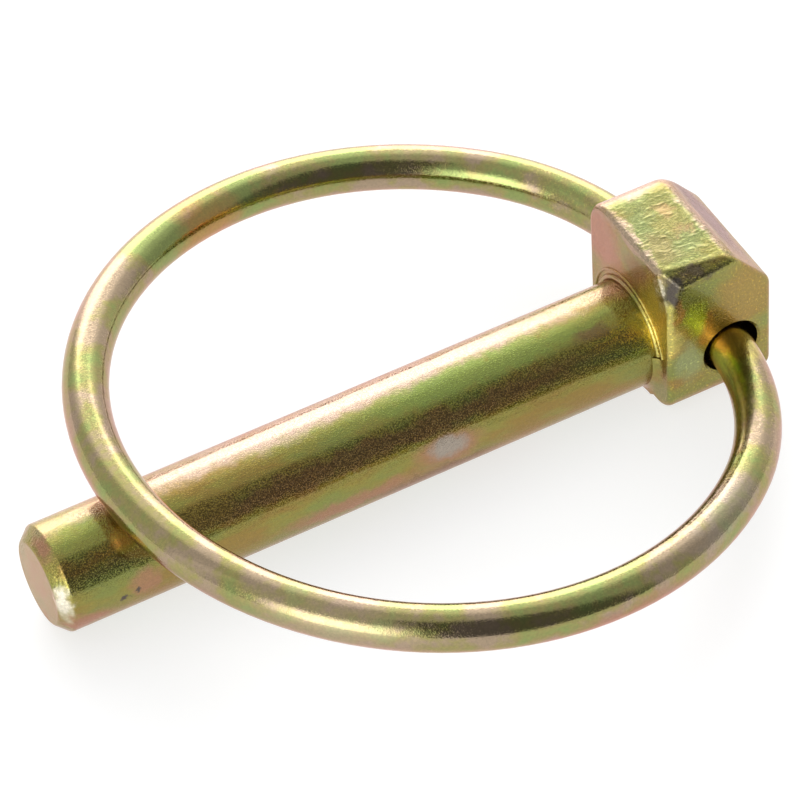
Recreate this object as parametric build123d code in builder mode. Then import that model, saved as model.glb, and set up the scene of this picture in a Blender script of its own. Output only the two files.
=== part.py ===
from build123d import *
import math
import os

# Lynch pin: a forged steel pin with a block head, and a sprung wire ring that
# hinges in the head's cross hole and snaps down over the shank.
# Millimetres. The origin is on the shank's axis, in the plane of the face
# under the head. +X runs from the tip to the head, +Z is up when the pin lies
# on its flat underside, and the ring closes over the top of the shank.

# Shank
shank_dia = 6.0
shank_len = 35.2
tip_chamfer_len = 0.7
tip_chamfer_depth = 0.65

# Head block, flush with the underside of the shank, with a sloping top corner
head_len = 6.3
head_width = 8.4
head_height = 9.9
slope_len = 2.3
slope_drop = 2.7
slope_foot_radius = 1.0
rear_top_radius = 2.0
rear_slope_radius = 1.2
bottom_radius = 1.5
edge_radius = 0.35

# The front top edge is struck flat, and the flat widens towards the shank. The
# corner that it runs to is knocked off.
flat_width_at_slope = 0.4
flat_width_at_shank = 1.15
flat_depth_at_shank = 0.65
corner_across = 1.4
corner_down = 2.6
corner_along = 0.75

# Bead and lip that the dies squeeze up on the face around the shank. They start
# above the front side, run over the top and break off. From there on, a small
# flare joins the shank to the face.
bead_radius = 0.17
bead_from_shank = 0.14
bead_height = 0.16
lip_radius = 0.08
lip_from_shank = 0.58
bead_start = 14.0
bead_arc = 200.0
bead_break = 2.0
flare_len = 0.33
flare_width = 0.65

# Cross hole through the head
hole_from_shoulder_face = 3.85
hole_above_shank_axis = 0.4
hole_clearance = 0.8
hole_rim = 0.12

# Ring of spring wire
wire_dia = 2.5
ring_mean_dia = 35.5
ring_hinge_inset = 1.55
ring_end_gap = 0.6
wire_end_chamfer = 0.2
bend_start_depth = 0.85
wire_top_gap = 0.2
wire_side_gap = 0.25
ring_rest_gap = 0.05

# Places worked out from the sizes above
shank_radius = shank_dia / 2
wire_radius = wire_dia / 2
half_width = head_width / 2
head_bottom = -shank_radius
head_top = head_bottom + head_height
slope_start = head_len - slope_len
slope_foot = head_top - slope_drop
hole_dia = wire_dia + hole_clearance

# The ring's wire lies in its hole near the wall on the shank's side, and its far
# side lies on the shank
hinge_x = hole_from_shoulder_face - hole_clearance / 2 + wire_side_gap
hinge_z = hole_above_shank_axis + hole_clearance / 2 - wire_top_gap
ring_radius = ring_mean_dia / 2
ring_centre_dist = ring_radius - ring_hinge_inset
ring_reach = ring_centre_dist + ring_radius
ring_rest_height = shank_radius + ring_rest_gap + wire_radius - hinge_z
ring_tilt = math.asin(ring_rest_height / ring_reach)

# Each end of the wire is straight in the hole, then bends on an arc that runs
# smoothly into the round of the ring
straight_end = half_width - bend_start_depth
bend_radius = (
    ring_radius**2 - ring_centre_dist**2 - straight_end**2
) / (2 * ring_hinge_inset)
join_angle = math.degrees(math.atan2(straight_end, bend_radius - ring_centre_dist))


def plane_through(a, b, c):
    """A plane through three points, facing up."""
    normal = (Vector(b) - Vector(a)).cross(Vector(c) - Vector(a))
    return Plane(origin=a, z_dir=normal if normal.Z > 0 else -normal)


def plane_around_shank(angle):
    """A plane through the shank's axis, with its y axis that far above the front."""
    angle = math.radians(angle)
    return Plane(
        origin=(0, 0, 0), x_dir=(1, 0, 0), z_dir=(0, -math.sin(angle), -math.cos(angle))
    )


# Pin, forged in one piece: head, bead, flare and shank
with BuildPart() as pin:
    with BuildSketch(Plane.XZ):
        with BuildLine():
            Polyline(
                (0, head_bottom),
                (head_len, head_bottom),
                (head_len, slope_foot),
                (slope_start, head_top),
                (0, head_top),
                close=True,
            )
        make_face()
    extrude(amount=half_width, both=True)
    end_edges = pin.edges().filter_by(Axis.Y).group_by(Axis.X)[-1]
    fillet(end_edges.sort_by(Axis.Z)[-1], slope_foot_radius)

    # The flat along the front top edge, and the knocked corner
    split(
        bisect_by=plane_through(
            (0, flat_width_at_shank - half_width, head_top),
            (0, -half_width, head_top - flat_depth_at_shank),
            (slope_start, flat_width_at_slope - half_width, head_top),
        ),
        keep=Keep.BOTTOM,
    )
    split(
        bisect_by=plane_through(
            (0, corner_across - half_width, head_top),
            (0, -half_width, head_top - corner_down),
            (corner_along, -half_width, head_top - flat_depth_at_shank),
        ),
        keep=Keep.BOTTOM,
    )

    # The dies leave the rear top edges and the long bottom edges rounder than the rest
    rear_edges = pin.edges().filter_by_position(Axis.Y, half_width, half_width)
    fillet(rear_edges.sort_by(Axis.Z)[-1], rear_top_radius)
    rear_edges = pin.edges().filter_by_position(Axis.Y, half_width, half_width)
    rear_slope_edge = (
        rear_edges.filter_by(GeomType.LINE)
        .filter_by(Axis.X, reverse=True)
        .filter_by(Axis.Z, reverse=True)
    )
    fillet(rear_slope_edge, rear_slope_radius)
    fillet(pin.edges().filter_by(Axis.X).group_by(Axis.Z)[0], bottom_radius)
    fillet(pin.edges(), edge_radius)

    # Flare from the shank to the face, cut flush with the underside
    with BuildSketch(plane_around_shank(bead_start - bead_break)):
        with BuildLine():
            ThreePointArc(
                (-flare_len, shank_radius),
                (-flare_len / 3, shank_radius + flare_width / 3),
                (0, shank_radius + flare_width),
            )
            Polyline(
                (0, shank_radius + flare_width),
                (edge_radius, shank_radius + flare_width),
                (edge_radius, shank_radius / 2),
                (-flare_len, shank_radius / 2),
                (-flare_len, shank_radius),
            )
        make_face()
    revolve(axis=Axis((0, 0, 0), (1, 0, 0)), revolution_arc=360 - bead_arc - 2 * bead_break)
    split(bisect_by=Plane.XY.offset(head_bottom), keep=Keep.TOP)

    # Shank, with a chamfered tip
    with BuildSketch(Plane.YZ):
        Circle(shank_radius)
    extrude(amount=-shank_len)
    tip_face = pin.faces().sort_by(Axis.X)[0]
    chamfer(
        tip_face.edges(),
        length=tip_chamfer_depth,
        length2=tip_chamfer_len,
        reference=tip_face,
    )

    # Bead around the shank, and the lip outside it
    with BuildSketch(plane_around_shank(bead_start)):
        with Locations((bead_radius - bead_height, shank_radius + bead_from_shank)):
            Circle(bead_radius)
        with Locations((0, shank_radius + lip_from_shank)):
            Circle(lip_radius)
    revolve(axis=Axis((0, 0, 0), (-1, 0, 0)), revolution_arc=bead_arc)

    # Cross hole for the ring, with its rims broken
    with BuildSketch(Plane.XZ):
        with Locations((hole_from_shoulder_face, hole_above_shank_axis)):
            Circle(hole_dia / 2)
    extrude(amount=half_width, both=True, mode=Mode.SUBTRACT)
    rims = pin.edges().filter_by(
        lambda e: e.geom_type == GeomType.CIRCLE
        and math.isclose(e.radius, hole_dia / 2, abs_tol=1e-6)
    )
    chamfer(rims, hole_rim)
pin.part.label = "pin"


# Ring: one length of round spring wire, bent to a circle, with its two ends
# turned in to meet inside the head
ring_plane = Plane(
    origin=(hinge_x, 0, hinge_z),
    x_dir=(-math.cos(ring_tilt), 0, math.sin(ring_tilt)),
    z_dir=(math.sin(ring_tilt), 0, math.cos(ring_tilt)),
)
with BuildPart() as ring:
    with BuildLine(ring_plane) as centre_line:
        Line((0, ring_end_gap / 2), (0, straight_end))
        CenterArc((bend_radius, straight_end), bend_radius, 180, join_angle - 180)
        CenterArc((ring_centre_dist, 0), ring_radius, join_angle, -2 * join_angle)
        CenterArc(
            (bend_radius, -straight_end), bend_radius, -join_angle, join_angle - 180
        )
        Line((0, -straight_end), (0, -ring_end_gap / 2))
    with BuildSketch(Plane(centre_line.line @ 0, z_dir=centre_line.line % 0)):
        Circle(wire_radius)
    sweep()
    wire_ends = ring.faces().filter_by(GeomType.PLANE)
    chamfer(wire_ends.edges(), wire_end_chamfer)
ring.part.label = "ring"


os.makedirs("parts", exist_ok=True)
export_step(pin.part, "parts/pin.step")
export_step(ring.part, "parts/ring.step")
print(f"bend radius {bend_radius:.2f}, ring tilt {math.degrees(ring_tilt):.2f} deg")
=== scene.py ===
import math

import bmesh
import bpy
from mathutils import Matrix, Vector, geometry, noise


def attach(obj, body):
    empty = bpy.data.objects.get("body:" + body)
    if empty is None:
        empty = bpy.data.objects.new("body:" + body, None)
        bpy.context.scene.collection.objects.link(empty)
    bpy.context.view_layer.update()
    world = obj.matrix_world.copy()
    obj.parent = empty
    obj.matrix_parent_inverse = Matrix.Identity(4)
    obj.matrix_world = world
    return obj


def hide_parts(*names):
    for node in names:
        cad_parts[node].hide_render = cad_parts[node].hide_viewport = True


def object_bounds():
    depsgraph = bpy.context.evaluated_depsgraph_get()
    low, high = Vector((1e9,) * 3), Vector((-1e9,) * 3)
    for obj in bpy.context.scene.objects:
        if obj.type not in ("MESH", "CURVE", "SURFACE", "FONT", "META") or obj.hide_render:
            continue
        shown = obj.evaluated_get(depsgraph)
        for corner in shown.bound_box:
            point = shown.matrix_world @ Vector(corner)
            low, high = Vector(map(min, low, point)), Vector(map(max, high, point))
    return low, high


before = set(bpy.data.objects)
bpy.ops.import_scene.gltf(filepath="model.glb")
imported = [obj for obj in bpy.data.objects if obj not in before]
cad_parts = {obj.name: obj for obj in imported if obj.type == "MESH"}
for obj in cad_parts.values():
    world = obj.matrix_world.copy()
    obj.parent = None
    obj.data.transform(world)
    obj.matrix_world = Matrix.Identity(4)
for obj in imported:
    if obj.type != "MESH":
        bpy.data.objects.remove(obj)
cad_low, cad_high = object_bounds()


# The pin: one steel forging, with a block head, a plain round shank and a chamfered tip. The head's
# top is left as the hammer left it, dented and creased like foil, and its sides are smooth.
MM = 0.001
SAME_POINT = 0.0005 * MM
SAME_PLANE = math.radians(0.5)
CUT_TOLERANCE = 0.00001 * MM
SHARP_EDGE = math.radians(25)
FACING_UP = 0.9999
TOP_HEIGHT = 6.9 * MM
TOP_TOLERANCE = 0.01 * MM
DENT_CELL = 0.12 * MM
DENT_DEPTH = 0.03 * MM
DENT_MARGIN = 0.3 * MM
DENT_SINK = 0.5
DENTS_PER_MM = Vector((0.7, 1.3, 1.0))
DENT_SOFTNESS = 0.8
DENT_FINENESS = 2.0
DENT_LAYERS = 3
TIP_START = -34.4 * MM
TIP_ROUNDING = 0.1 * MM


def dent(place):
    """How far the hammered top stands above or below its plane, from 1 to -1."""
    where = DENTS_PER_MM * place / MM
    return noise.fractal(
        where, DENT_SOFTNESS, DENT_FINENESS, DENT_LAYERS, noise_basis="PERLIN_ORIGINAL"
    )


def length_to_edge(place, edge):
    """The distance from a place to a straight edge, in plan."""
    start, end = (v.to_2d() for v in edge)
    share = geometry.intersect_point_line(place.to_2d(), start, end)[1]
    held = start.lerp(end, min(1.0, max(0.0, share)))
    return (place.to_2d() - held).length


def hammered_faces():
    """The faces of the head's flat top."""
    return [
        f
        for f in pin_shape.faces
        if f.normal.z > FACING_UP and abs(f.verts[0].co.z - TOP_HEIGHT) < TOP_TOLERANCE
    ]


pin_shape = bmesh.new()
pin_shape.from_mesh(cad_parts["pin"].data)
bmesh.ops.remove_doubles(pin_shape, verts=pin_shape.verts, dist=SAME_POINT)
bmesh.ops.dissolve_limit(
    pin_shape, angle_limit=SAME_PLANE, verts=pin_shape.verts, edges=pin_shape.edges
)

# The top is cut into small cells both ways, and its dents fade out towards its edges
outline = [
    [v.co.copy() for v in e.verts]
    for f in hammered_faces()
    for e in f.edges
    if any(n.normal.z < FACING_UP for n in e.link_faces)
]
corners = [v for edge in outline for v in edge]
for axis in (0, 1):
    across = Vector((0, 0, 0))
    across[axis] = 1
    start, end = min(v[axis] for v in corners), max(v[axis] for v in corners)
    for step in range(1, int((end - start) / DENT_CELL)):
        cells = {part for f in hammered_faces() for part in (f, *f.edges, *f.verts)}
        bmesh.ops.bisect_plane(
            pin_shape,
            geom=list(cells),
            plane_co=across * (start + step * DENT_CELL),
            plane_no=across,
            dist=CUT_TOLERANCE,
        )
for vert in {v for f in hammered_faces() for v in f.verts}:
    inset = min(length_to_edge(vert.co, edge) for edge in outline)
    share = min(1.0, inset / DENT_MARGIN)
    eased = share * share * (3 - 2 * share)
    vert.co.z += eased * DENT_DEPTH * (dent(vert.co) - DENT_SINK)

# The edges of the tip's chamfer are a little rounded
tip_edges = [
    e
    for e in pin_shape.edges
    if max(v.co.x for v in e.verts) < TIP_START and e.calc_face_angle(0.0) > SHARP_EDGE
]
bmesh.ops.bevel(
    pin_shape,
    geom=tip_edges,
    affect="EDGES",
    offset=TIP_ROUNDING,
    segments=3,
    profile=0.5,
    material=-1,
)
for face in pin_shape.faces:
    face.smooth = True
for edge in pin_shape.edges:
    edge.smooth = edge.calc_face_angle(0.0) < SHARP_EDGE

pin_mesh = bpy.data.meshes.new("forged_pin")
pin_shape.to_mesh(pin_mesh)
pin_shape.free()
forged_pin = bpy.data.objects.new("forged_pin", pin_mesh)
bpy.context.scene.collection.objects.link(forged_pin)
weights = forged_pin.modifiers.new("flat faces stay flat", "WEIGHTED_NORMAL")
weights.keep_sharp = True

# The pin's finish is yellow zinc plate: bright zinc, dipped in a yellow chromate that leaves a thin
# clear film. The film is uneven, so the metal drifts from olive gold to green and brown, with
# salmon stains, and turns pink at a slant. The steel's grain shows through. Patterns are in mm.
PLATE_SLANT = "#ffdad6"
FILM_COAT = {"Coat Weight": 0.4, "Coat Roughness": 0.08, "Coat IOR": 2.2}
FILM_PATCH = 2.22
FILM_STEPS = (0.41, 0.5, 0.6)
STAIN_RAGGEDNESS = 1.11
STAIN_WANDER = 1.6
STAIN_EDGE = {"From Min": 0.35, "From Max": 1.0}
MOTTLE_RANGE = {"From Min": 0.3, "From Max": 0.7, "To Min": 0.84, "To Max": 1.1}
# Painted glints: bright specks in the colour of the head's sides, where they fall and how bright
# they get
PAINTED_GLINT_RANGE = {"From Min": 0.56, "From Max": 0.7, "To Min": 0.0}
PAINTED_GLINTS_PER_MM = 110.0
MOTTLE_TO_GRAIN = 2.0
DULL_PATCH = 0.91
DULL_RANGE = {"From Min": 0.3, "From Max": 0.7}
HEAD_DULLNESS = 0.1
HEAD_START = {"From Min": -0.15, "From Max": 0.1}
HEAD_TOP = {"From Min": TOP_HEIGHT / MM - 0.25, "From Max": TOP_HEIGHT / MM - 0.05}
TIP_CHAMFER = -34.85
TIP_CHAMFER_REACH = 0.3
WAVE_SIZE = 1.11
WAVE_HEIGHT = 0.02
FOLD_SIZE = 0.417
FOLD_HEIGHT = 0.04
FOLD_SQUEEZE = (1.0, 1.6, 1.0)
GRAIN_RANGE = {"From Min": 0.5, "From Max": 0.75}

GREEN = "#7d9130"
DEEP_GREEN = "#6d7935"
LEAF_GREEN = "#a8b614"
PALE_GREEN = "#929d5f"
GOLD = "#9c8024"
PALE_GOLD = "#e6d468"
ORANGE = "#ba7a2f"
SALMON = "#ac7356"
PALE_PINK = "#b49983"
BROWN = "#8c632e"
RED_BROWN = "#744a2b"
LILAC_GREY = "#a09789"
# Dark grey-brown: a painted dark reflection along the front edge of the head's top
PAINTED_DARK_REFLECTION_GREY = "#5c4c34"
MAROON = "#5a3018"
# Near black: two dark pits near the tip, and a painted dark reflection on the head's knocked corner
DARK_PITS_AND_PAINTED_DARK_REFLECTION = "#3c3122"
# Near white: painted highlights, on the tip's chamfer and on a rounded edge of the head's corner
PAINTED_HIGHLIGHT_WHITE = "#e6dec6"


def linear(colour):
    """An sRGB hex colour as linear red, green, blue and alpha."""
    parts = [int(colour[i : i + 2], 16) / 255 for i in (1, 3, 5)]
    return [p / 12.92 if p <= 0.04045 else ((p + 0.055) / 1.055) ** 2.4 for p in parts] + [1.0]


def add_node(tree, kind, links=None, values=None, **settings):
    """Adds a node, links other nodes' outputs to its inputs, and sets its values and settings."""
    node = tree.nodes.new(kind)
    for name, value in settings.items():
        setattr(node, name, value)
    for key, value in (values or {}).items():
        node.inputs[key].default_value = value
    for key, output in (links or {}).items():
        tree.links.new(output, node.inputs[key])
    return node


def yellow_zinc(name, film, stains_and_painted_light, film_stretch, film_shift, grain_size, grain_height, gloss):
    """Yellow zinc plate. film is its three colours. Each entry of stains_and_painted_light is a
    colour, a middle and a half size in mm, and a strength: most are marks in the film, and some
    are painted highlights, painted light and painted dark reflections. gloss is the lowest and
    the highest roughness."""
    material = bpy.data.materials.new(name)
    material.use_nodes = True
    tree = material.node_tree
    shader = tree.nodes["Principled BSDF"]
    place = add_node(tree, "ShaderNodeTexCoord").outputs["Object"]
    in_mm = add_node(
        tree, "ShaderNodeMapping", {"Vector": place}, {"Scale": [1 / MM] * 3}
    ).outputs["Vector"]
    stretched = add_node(
        tree,
        "ShaderNodeMapping",
        {"Vector": in_mm},
        {"Scale": film_stretch, "Location": film_shift},
    ).outputs["Vector"]

    # Broad drift of the film
    drift = add_node(
        tree,
        "ShaderNodeTexNoise",
        {"Vector": stretched},
        {"Scale": 1 / FILM_PATCH, "Detail": 4.0, "Roughness": 0.6},
        noise_dimensions="4D",
    )
    tone = add_node(tree, "ShaderNodeValToRGB", {"Fac": drift.outputs["Fac"]})
    tone.color_ramp.elements.new(FILM_STEPS[1])
    for element, step, colour in zip(tone.color_ramp.elements, FILM_STEPS, film):
        element.position = step
        element.color = linear(colour)
    colour = tone.outputs["Color"]

    # Stains, painted highlights, painted light and painted shade, with edges that wander. A mix
    #     has its colours at inputs 6 and 7 and at output 2
    wander = add_node(
        tree,
        "ShaderNodeTexNoise",
        {"Vector": in_mm},
        {"Scale": 1 / STAIN_RAGGEDNESS, "Detail": 4.0, "Roughness": 0.6},
    )
    shift = add_node(
        tree,
        "ShaderNodeVectorMath",
        {0: wander.outputs["Color"]},
        {1: [0.5] * 3},
        operation="SUBTRACT",
    )
    wandering = add_node(
        tree,
        "ShaderNodeVectorMath",
        {0: shift.outputs["Vector"], 2: in_mm},
        {1: [STAIN_WANDER] * 3},
        operation="MULTIPLY_ADD",
    )
    for patch_colour, middle, half_size, strength in stains_and_painted_light:
        inside = add_node(
            tree,
            "ShaderNodeMapping",
            {"Vector": wandering.outputs["Vector"]},
            {"Location": middle, "Scale": half_size},
            vector_type="TEXTURE",
        )
        away = add_node(
            tree, "ShaderNodeVectorMath", {0: inside.outputs["Vector"]}, operation="LENGTH"
        )
        share = add_node(
            tree,
            "ShaderNodeMapRange",
            {"Value": away.outputs["Value"]},
            {**STAIN_EDGE, "To Min": strength, "To Max": 0.0},
            interpolation_type="SMOOTHSTEP",
        )
        patched = add_node(
            tree,
            "ShaderNodeMix",
            {0: share.outputs["Result"], 6: colour},
            {7: linear(patch_colour)},
            data_type="RGBA",
        )
        colour = patched.outputs[2]

    # Fine mottling, a little coarser than the grain, with painted glints, bright specks, on the
    # sides of the head
    from_face = add_node(tree, "ShaderNodeSeparateXYZ", {0: in_mm}).outputs
    on_head = add_node(tree, "ShaderNodeMapRange", {"Value": from_face["X"]}, HEAD_START)
    on_top = add_node(tree, "ShaderNodeMapRange", {"Value": from_face["Z"]}, HEAD_TOP)
    on_sides = add_node(
        tree,
        "ShaderNodeMath",
        {0: on_head.outputs["Result"], 1: on_top.outputs["Result"]},
        operation="SUBTRACT",
        use_clamp=True,
    ).outputs[0]
    mottle = add_node(
        tree,
        "ShaderNodeTexNoise",
        {"Vector": in_mm},
        {"Scale": 1 / (MOTTLE_TO_GRAIN * grain_size), "Detail": 4.0, "Roughness": 0.7},
    ).outputs["Fac"]
    painted_glints = add_node(
        tree,
        "ShaderNodeMapRange",
        {"Value": mottle},
        {**PAINTED_GLINT_RANGE, "To Max": PAINTED_GLINTS_PER_MM * grain_height},
    )
    evenly = add_node(tree, "ShaderNodeMapRange", {"Value": mottle}, MOTTLE_RANGE)
    # The colour's scale: random mottling, plus the painted glints on the sides of the head
    mottle_and_painted_glints = add_node(
        tree,
        "ShaderNodeMath",
        {0: on_sides, 1: painted_glints.outputs["Result"], 2: evenly.outputs["Result"]},
        operation="MULTIPLY_ADD",
    )
    mottled = add_node(
        tree, "ShaderNodeVectorMath", {0: colour, "Scale": mottle_and_painted_glints.outputs[0]}, operation="SCALE"
    )
    tree.links.new(mottled.outputs["Vector"], shader.inputs["Base Color"])

    # The film is dull in places, and all of it is duller on the sides of the head
    dulling = add_node(
        tree,
        "ShaderNodeTexNoise",
        {"Vector": stretched},
        {"Scale": 1 / DULL_PATCH, "Detail": 5.0, "Roughness": 0.65},
    )
    dull = add_node(
        tree,
        "ShaderNodeMapRange",
        {"Value": dulling.outputs["Fac"]},
        {**DULL_RANGE, "To Min": gloss[0], "To Max": gloss[1]},
    )
    roughness = add_node(
        tree,
        "ShaderNodeMath",
        {0: on_sides, 2: dull.outputs["Result"]},
        {1: HEAD_DULLNESS},
        operation="MULTIPLY_ADD",
    )
    tree.links.new(roughness.outputs[0], shader.inputs["Roughness"])

    # Relief: long waves in the steel, the foil-like folds of the hammered top, which the tip's
    # chamfer has too, and sparse grain
    waves = add_node(
        tree,
        "ShaderNodeTexNoise",
        {"Vector": stretched},
        {"Scale": 1 / WAVE_SIZE, "Detail": 2.0, "Roughness": 0.5},
    )
    squeezed = add_node(tree, "ShaderNodeMapping", {"Vector": in_mm}, {"Scale": FOLD_SQUEEZE})
    folds = add_node(
        tree,
        "ShaderNodeTexNoise",
        {"Vector": squeezed.outputs["Vector"]},
        {"Scale": 1 / FOLD_SIZE, "Detail": 4.0, "Roughness": 0.6},
        noise_type="RIDGED_MULTIFRACTAL",
    )
    on_chamfer = add_node(
        tree,
        "ShaderNodeMath",
        {0: from_face["X"]},
        {1: TIP_CHAMFER, 2: TIP_CHAMFER_REACH},
        operation="COMPARE",
    )
    hammered = add_node(
        tree,
        "ShaderNodeMath",
        {0: on_top.outputs["Result"], 1: on_chamfer.outputs[0]},
        operation="MAXIMUM",
    )
    grain = add_node(
        tree,
        "ShaderNodeTexNoise",
        {"Vector": in_mm},
        {"Scale": 1 / grain_size, "Detail": 2.0, "Roughness": 0.6},
    )
    sparse = add_node(tree, "ShaderNodeMapRange", {"Value": grain.outputs["Fac"]}, GRAIN_RANGE)
    relief = None
    for height, tallest, strength in (
        (waves.outputs["Fac"], WAVE_HEIGHT, None),
        (folds.outputs["Fac"], FOLD_HEIGHT, hammered.outputs[0]),
        (sparse.outputs["Result"], grain_height, None),
    ):
        under = {"Height": height}
        if relief:
            under["Normal"] = relief
        if strength:
            under["Strength"] = strength
        bump = add_node(
            tree, "ShaderNodeBump", under, {"Strength": 1.0, "Distance": tallest * MM}
        )
        relief = bump.outputs["Normal"]
    tree.links.new(relief, shader.inputs["Normal"])
    tree.links.new(relief, shader.inputs["Coat Normal"])

    shader.inputs["Metallic"].default_value = 1.0
    shader.inputs["Specular Tint"].default_value = linear(PLATE_SLANT)
    for socket, value in FILM_COAT.items():
        shader.inputs[socket].default_value = value
    return material


# Stains are where the photographed pin has them. Some entries are painted light instead, and say
# so: painted highlights, painted light, painted shade and painted dark reflections.
PIN_FILM = ("#93771c", "#8f8524", "#82882e")
PIN_STAINS_AND_PAINTED_LIGHT = (
    # Shank
    (SALMON, (-15.0, 2.2, 2.2), (24.0, 1.2, 1.0), 0.6),
    # Pale pink along the top of the shank, where the highlight falls: a painted highlight,
    # whitening it
    (PALE_PINK, (-17.0, 0.7, 2.9), (24.0, 1.5, 1.0), 1.0),
    (BROWN, (-18.0, -2.3, 1.93), (20.0, 0.75, 0.8), 0.75),
    (GREEN, (-10.0, -0.9, 2.86), (11.0, 1.3, 1.0), 0.9),
    (GREEN, (-33.0, -1.0, 2.8), (2.5, 1.5, 1.0), 0.6),
    (RED_BROWN, (-3.0, -1.4, 2.6), (1.6, 0.6, 0.6), 0.6),
    (GOLD, (-26.5, -2.0, 2.2), (2.6, 1.1, 1.2), 0.8),
    (SALMON, (-18.5, -3.0, -0.5), (5.5, 1.5, 0.9), 0.75),
    (SALMON, (-12.6, -2.95, 0.4), (2.6, 1.4, 1.5), 0.8),
    (LILAC_GREY, (-12.6, -2.95, 0.5), (1.5, 1.2, 0.9), 0.9),
    (RED_BROWN, (-13.5, -2.75, -1.2), (5.0, 1.5, 0.8), 0.7),
    (SALMON, (-30.4, -3.0, 0.3), (1.3, 1.0, 1.0), 0.7),
    (SALMON, (-34.0, -2.8, -0.9), (2.2, 1.0, 0.9), 0.8),
    # A painted highlight: the white reflection on the tip's chamfer
    (PAINTED_HIGHLIGHT_WHITE, (-34.8, -2.5, 0.7), (0.6, 0.9, 1.5), 1.0),
    # Two small dark pits near the tip
    (DARK_PITS_AND_PAINTED_DARK_REFLECTION, (-31.6, -2.98, -0.35), (0.32, 0.3, 0.1), 1.0),
    (DARK_PITS_AND_PAINTED_DARK_REFLECTION, (-30.9, -2.98, 0.05), (0.2, 0.3, 0.12), 1.0),
    (SALMON, (-34.9, -0.2, 2.8), (0.7, 1.2, 1.0), 0.8),
    # Face under the head, and the slope
    (SALMON, (0.0, 3.0, 4.6), (1.0, 3.0, 3.0), 0.9),
    (BROWN, (0.0, -0.9, 5.2), (1.0, 1.7, 1.4), 0.6),
    # Pale gold at the front of the face under the head: its golden film, made pale as painted light
    # where it reflects the dark shank
    (PALE_GOLD, (0.2, -2.9, 3.4), (0.95, 2.3, 3.7), 1.0),
    # Dark red-brown on the slope: its pink-brown film, darkened as painted shade
    (MAROON, (5.3, 0.6, 5.7), (1.8, 4.8, 1.8), 1.0),
    # Front face of the head
    (GOLD, (4.5, -4.2, 3.9), (2.6, 1.0, 2.8), 0.9),
    (ORANGE, (2.4, -4.2, 2.5), (0.7, 0.7, 1.6), 0.5),
    (LEAF_GREEN, (1.7, -4.2, 3.5), (1.0, 0.9, 1.5), 1.0),
    (PALE_GREEN, (1.3, -4.2, 0.7), (1.1, 0.8, 2.1), 0.8),
    (ORANGE, (0.65, -4.2, 4.7), (0.5, 0.7, 1.4), 0.7),
    # Top of the head, with the flat and the corner that it runs to
    (DEEP_GREEN, (2.0, -0.4, 6.9), (3.6, 4.6, 0.8), 0.95),
    (GOLD, (2.6, 0.2, 6.9), (1.6, 2.2, 0.6), 0.35),
    (BROWN, (1.2, -1.4, 6.9), (1.3, 1.6, 0.6), 0.35),
    # Pale pink on the rounded rims of the top: painted highlights, whitening the light that these
    # edges catch
    (PALE_PINK, (2.0, 3.6, 6.5), (3.6, 1.5, 1.2), 0.9),
    (PALE_PINK, (0.0, -0.3, 6.8), (0.6, 5.0, 0.6), 0.8),
    (PALE_PINK, (4.1, -0.3, 6.8), (0.6, 4.6, 0.6), 0.8),
    (SALMON, (2.9, -0.9, 6.9), (0.8, 0.9, 0.6), 0.35),
    (SALMON, (2.7, 0.9, 6.9), (0.7, 0.8, 0.6), 0.3),
    # A painted dark reflection along the flat at the front edge of the top
    (PAINTED_DARK_REFLECTION_GREY, (1.8, -3.75, 6.6), (3.0, 0.8, 0.5), 0.85),
    # A painted highlight: the white strip along the rounded edge between the corner and the face
    # under the head
    (PAINTED_HIGHLIGHT_WHITE, (-0.1, -3.4, 5.5), (0.35, 0.8, 1.6), 0.9),
    # A painted dark reflection on the facet of the knocked corner
    (DARK_PITS_AND_PAINTED_DARK_REFLECTION, (0.45, -3.8, 5.7), (0.65, 1.2, 1.7), 1.0),
)

pin_mesh.materials.clear()
pin_mesh.materials.append(
    yellow_zinc(
        "yellow_zinc_on_forging",
        film=PIN_FILM,
        stains_and_painted_light=PIN_STAINS_AND_PAINTED_LIGHT,
        film_stretch=(0.35, 1.0, 1.0),
        film_shift=(0.0, 0.0, 0.0),
        grain_size=0.07,
        grain_height=0.01,
        gloss=(0.1, 0.19),
    )
)
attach(forged_pin, "pin_body")
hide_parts("pin")


# The ring: drawn spring wire, bent cold to a circle, with both ends turned in to the head's cross
# hole. Drawing leaves it smoother and glossier than the forging, and its film is paler.
RING_FILM = ("#a08a6c", "#968c48", "#869446")
RING_STAINS_AND_PAINTED_LIGHT = (
    (PALE_PINK, (-24.0, -12.0, 3.0), (6.0, 6.0, 3.0), 0.6),
    (SALMON, (-3.0, -17.5, 0.3), (9.0, 4.5, 1.4), 0.9),
    (SALMON, (-12.0, -19.0, 1.4), (7.0, 3.0, 1.4), 0.8),
    (SALMON, (-31.5, 3.0, 3.6), (3.0, 10.0, 1.5), 0.7),
    (LILAC_GREY, (-3.5, -15.8, 2.4), (5.5, 3.0, 0.9), 0.4),
    (ORANGE, (-17.0, 16.0, 3.0), (3.0, 3.0, 2.0), 0.6),
    (PALE_PINK, (-2.0, 17.0, 2.0), (6.0, 3.0, 2.0), 0.5),
    # Pale gold on the wire where it turns into the head's hole: painted light, lifting it out of
    # the dark
    (PALE_GOLD, (3.4, -5.0, 0.7), (1.8, 3.0, 2.0), 0.85),
)

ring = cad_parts["ring"]
ring.data.materials.clear()
ring.data.materials.append(
    yellow_zinc(
        "yellow_zinc_on_wire",
        film=RING_FILM,
        stains_and_painted_light=RING_STAINS_AND_PAINTED_LIGHT,
        film_stretch=(0.8, 0.8, 1.0),
        film_shift=(13.0, 4.0, 9.0),
        grain_size=0.08,
        grain_height=0.0035,
        gloss=(0.045, 0.11),
    )
)


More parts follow.
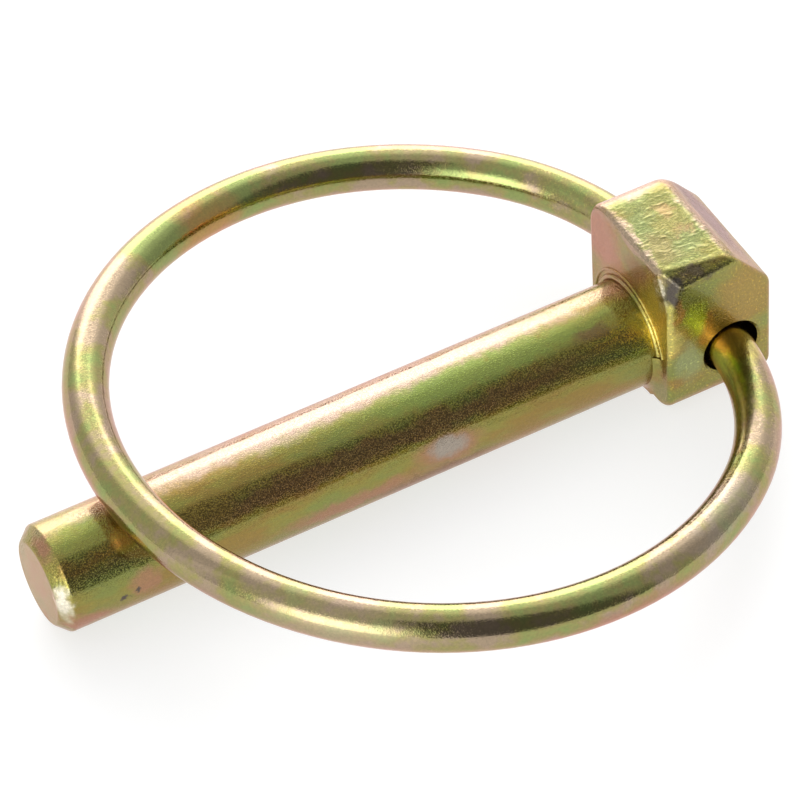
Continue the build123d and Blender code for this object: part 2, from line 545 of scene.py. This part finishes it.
# The table: a white sheet under the part. It is white to the eye and in the metal, apart from the
# shadow, and it lights the part no more than white card does. From below it is clear, so that the
# part's underside can be looked at, and it lies a hair lower than the part.
TABLE_SIZE = 6.0
TABLE_GAP = 0.02 * MM
TABLE_COLOUR = "#a8a8a8"
TABLE_ROUGHNESS = 0.45
TABLE_GLOW = 0.68

table_shape = bmesh.new()
bmesh.ops.create_grid(table_shape, x_segments=1, y_segments=1, size=TABLE_SIZE / 2)
bmesh.ops.translate(table_shape, verts=table_shape.verts, vec=(0, 0, cad_low.z - TABLE_GAP))
table_mesh = bpy.data.meshes.new("table")
table_shape.to_mesh(table_mesh)
table_shape.free()
table = bpy.data.objects.new("table", table_mesh)
bpy.context.scene.collection.objects.link(table)

card = bpy.data.materials.new("white_card")
card.use_nodes = True
card_tree = card.node_tree
card_shader = card_tree.nodes["Principled BSDF"]
card_shader.inputs["Base Color"].default_value = linear(TABLE_COLOUR)
card_shader.inputs["Roughness"].default_value = TABLE_ROUGHNESS
card_shader.inputs["Emission Color"].default_value = (1, 1, 1, 1)
rays = add_node(card_tree, "ShaderNodeLightPath").outputs
seen = rays["Is Camera Ray"]
for ray in ("Is Glossy Ray", "Is Transmission Ray"):
    either = add_node(card_tree, "ShaderNodeMath", {0: seen, 1: rays[ray]}, operation="MAXIMUM")
    seen = either.outputs[0]
glow = add_node(card_tree, "ShaderNodeMath", {0: seen}, {1: TABLE_GLOW}, operation="MULTIPLY")
card_tree.links.new(glow.outputs[0], card_shader.inputs["Emission Strength"])
facing = add_node(card_tree, "ShaderNodeNewGeometry").outputs["Backfacing"]
below = add_node(
    card_tree, "ShaderNodeMath", {0: facing, 1: rays["Is Camera Ray"]}, operation="MULTIPLY"
)
clear = add_node(card_tree, "ShaderNodeBsdfTransparent")
sheet = add_node(
    card_tree,
    "ShaderNodeMixShader",
    {0: below.outputs[0], 1: card_shader.outputs[0], 2: clear.outputs[0]},
)
card_tree.links.new(sheet.outputs[0], card_tree.nodes["Material Output"].inputs["Surface"])
table_mesh.materials.append(card)


# The light: a white tent with two bright windows, one behind and one at the front left. It is open
# at the front right, where the dark room shows. The eye sees plain white behind the part. Angles
# are degrees from the front, which is -Y, positive towards +X, and degrees above the table.
TENT_LEVEL = 0.76
TENT_PARTS = {
    "room": {
        "azimuth": 8, "width": 66, "elevation": 34, "height": 78, "edge": 14, "level": -0.6
    },
    "shaded side": {
        "azimuth": 68, "width": 50, "elevation": 25, "height": 80, "edge": 14, "level": -0.2
    },
    "bright side": {
        "azimuth": 106, "width": 46, "elevation": 22, "height": 56, "edge": 14, "level": 0.2
    },
    "back window": {
        "azimuth": 158, "width": 50, "elevation": 14, "height": 42, "edge": 10, "level": 2.9
    },
    "glow above it": {
        "azimuth": 157, "width": 76, "elevation": 42, "height": 44, "edge": 30, "level": 0.9
    },
    "left window": {
        "azimuth": -51, "width": 34, "elevation": 18, "height": 38, "edge": 20, "level": 3.2
    },
    "side strip": {
        "azimuth": -97, "width": 10, "elevation": 25, "height": 70, "edge": 6, "level": 0.3
    },
}

world = bpy.data.worlds.new("light_tent")
bpy.context.scene.world = world
world.use_nodes = True
sky = world.node_tree
sky.nodes.clear()
direction = add_node(sky, "ShaderNodeTexCoord").outputs["Generated"]
along = add_node(sky, "ShaderNodeSeparateXYZ", {0: direction}).outputs
to_front = add_node(sky, "ShaderNodeMath", {0: along["Y"]}, {1: -1.0}, operation="MULTIPLY")
azimuth = add_node(
    sky, "ShaderNodeMath", {0: along["X"], 1: to_front.outputs[0]}, operation="ARCTAN2"
)
elevation = add_node(sky, "ShaderNodeMath", {0: along["Z"]}, operation="ARCSINE")


def band(angle, middle, size, edge, turns):
    """1 within a band of directions and 0 outside it, with a soft edge. turns is for an azimuth,
    which starts again after a full turn."""
    away = add_node(
        sky, "ShaderNodeMath", {0: angle}, {1: math.radians(middle)}, operation="SUBTRACT"
    )
    if turns:
        away = add_node(
            sky,
            "ShaderNodeMath",
            {0: away.outputs[0]},
            {1: math.pi, 2: -math.pi},
            operation="WRAP",
        )
    apart = add_node(sky, "ShaderNodeMath", {0: away.outputs[0]}, operation="ABSOLUTE")
    half, soft = math.radians(size / 2), math.radians(edge / 2)
    inside = add_node(
        sky,
        "ShaderNodeMapRange",
        {"Value": apart.outputs[0]},
        {"From Min": half - soft, "From Max": half + soft, "To Min": 1.0, "To Max": 0.0},
        interpolation_type="SMOOTHSTEP",
    )
    return inside.outputs["Result"]


level = None
for part in TENT_PARTS.values():
    sideways = band(azimuth.outputs[0], part["azimuth"], part["width"], part["edge"], True)
    upwards = band(elevation.outputs[0], part["elevation"], part["height"], part["edge"], False)
    lit = add_node(sky, "ShaderNodeMath", {0: sideways, 1: upwards}, operation="MULTIPLY")
    added = add_node(
        sky,
        "ShaderNodeMath",
        {0: lit.outputs[0]},
        {1: part["level"], 2: TENT_LEVEL},
        operation="MULTIPLY_ADD",
    )
    if level:
        sky.links.new(level, added.inputs[2])
    level = added.outputs[0]

tent = add_node(sky, "ShaderNodeBackground", {"Strength": level}, {"Color": (1, 1, 1, 1)})
backdrop = add_node(sky, "ShaderNodeBackground", values={"Color": (1, 1, 1, 1), "Strength": 1.0})
to_eye = add_node(sky, "ShaderNodeLightPath").outputs["Is Camera Ray"]
light = add_node(
    sky, "ShaderNodeMixShader", {0: to_eye, 1: tent.outputs[0], 2: backdrop.outputs[0]}
)
add_node(sky, "ShaderNodeOutputWorld", {"Surface": light.outputs[0]})


# The camera: a long lens, above the part and in front of it, to its left. Its place and its
# directions were worked out from the outline in the photograph.
CAMERA_PLACE = Vector((-95.24, -169.25, 195.54)) * MM
CAMERA_AHEAD = Vector((0.3018, 0.62783, -0.71746))
CAMERA_UP = Vector((0.37293, 0.61484, 0.69491))
LENS_MM = 231.59
SENSOR_MM = 36
NEAREST = 0.01
FARTHEST = 20

camera_data = bpy.data.cameras.new("camera")
camera_data.sensor_width = SENSOR_MM
camera_data.lens = LENS_MM
camera_data.clip_start = NEAREST
camera_data.clip_end = FARTHEST
camera = bpy.data.objects.new("camera", camera_data)
backward = -CAMERA_AHEAD.normalized()
right = CAMERA_UP.cross(backward).normalized()
upward = backward.cross(right)
turned = Matrix((right, upward, backward)).transposed().to_4x4()
camera.matrix_world = Matrix.Translation(CAMERA_PLACE) @ turned
bpy.context.scene.collection.objects.link(camera)
bpy.context.scene.camera = camera
bpy.context.scene.view_settings.view_transform = "Standard"
